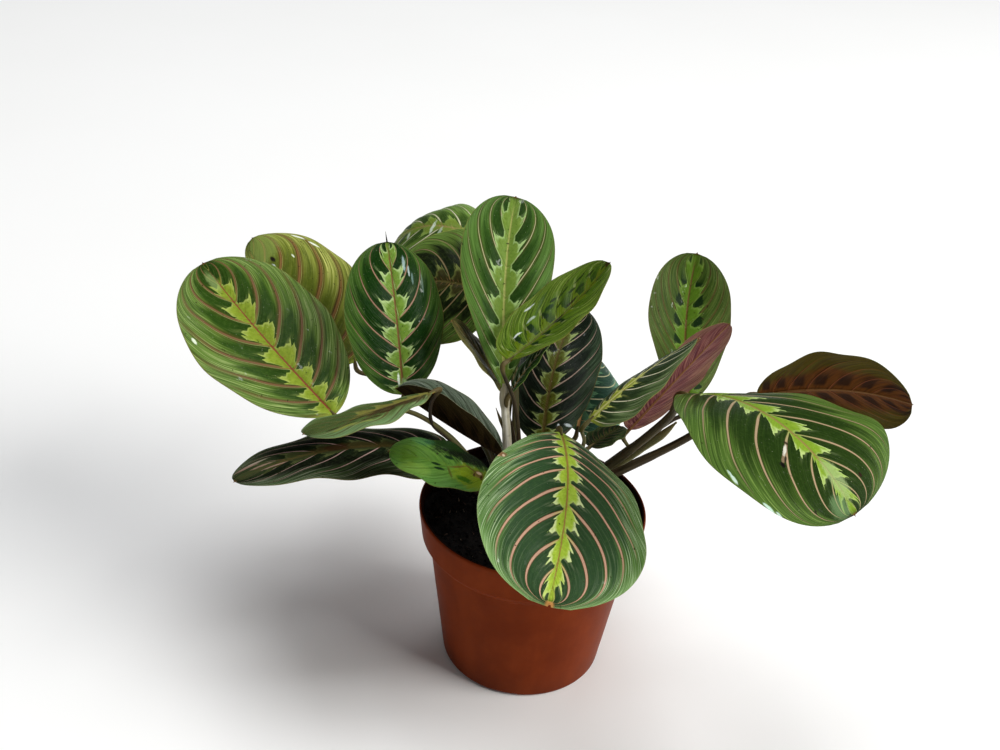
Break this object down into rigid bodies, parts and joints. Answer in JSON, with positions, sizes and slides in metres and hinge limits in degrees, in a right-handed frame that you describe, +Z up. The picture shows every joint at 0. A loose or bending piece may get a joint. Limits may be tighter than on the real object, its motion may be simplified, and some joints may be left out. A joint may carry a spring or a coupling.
{
  "type": "potted prayer plant",
  "caption": "Prayer plant (maranta) with broad, striped oval leaves on thin stalks, growing in a tapered plastic nursery pot filled with dark soil.",
  "frame": {"origin": "centre of the pot's base, on the surface that the pot stands on", "axes": "+X to the right, +Y away from the viewer and +Z up, along the pot's axis"},
  "size_m": [0.3758, 0.2721, 0.235],
  "materials": {
    "pot_plastic": "satin terracotta-coloured plastic",
    "potting_soil": "dark crumbly peat",
    "stems": "matt brown and olive",
    "leaf_green": "satin green with pink veins and lime lobes along the midrib",
    "leaf_dark": "satin dark green with pink veins",
    "leaf_red": "satin red-brown underside"
  },
  "bodies": {
    "root": {"pot": "pot_plastic", "soil": "potting_soil", "stems_left": "stems", "stems_centre": "stems", "stems_back": "stems", "stems_front": "stems", "stems_right": "stems", "leaf_far_left": "leaf_green", "leaf_left_behind": "leaf_green", "leaf_left_upright": "leaf_dark", "leaf_low_left": "leaf_dark", "leaf_left_small": "leaf_green", "leaf_soil_young": "leaf_green", "leaf_left_folded": "leaf_red", "leaf_back_folded": "leaf_red", "leaf_centre_upright": "leaf_green", "leaf_centre_young": "leaf_green", "leaf_centre_small": "leaf_dark", "leaf_back_top": "leaf_green", "leaf_back_low": "leaf_dark", "leaf_behind_shaded": "leaf_dark", "leaf_centre_shaded": "leaf_dark", "leaf_front": "leaf_green", "leaf_right_narrow": "leaf_green", "leaf_right_red": "leaf_red", "leaf_right_small": "leaf_dark", "leaf_right_upright": "leaf_green", "leaf_far_right": "leaf_green", "leaf_far_right_behind": "leaf_red"}
  },
  "joints": []
}
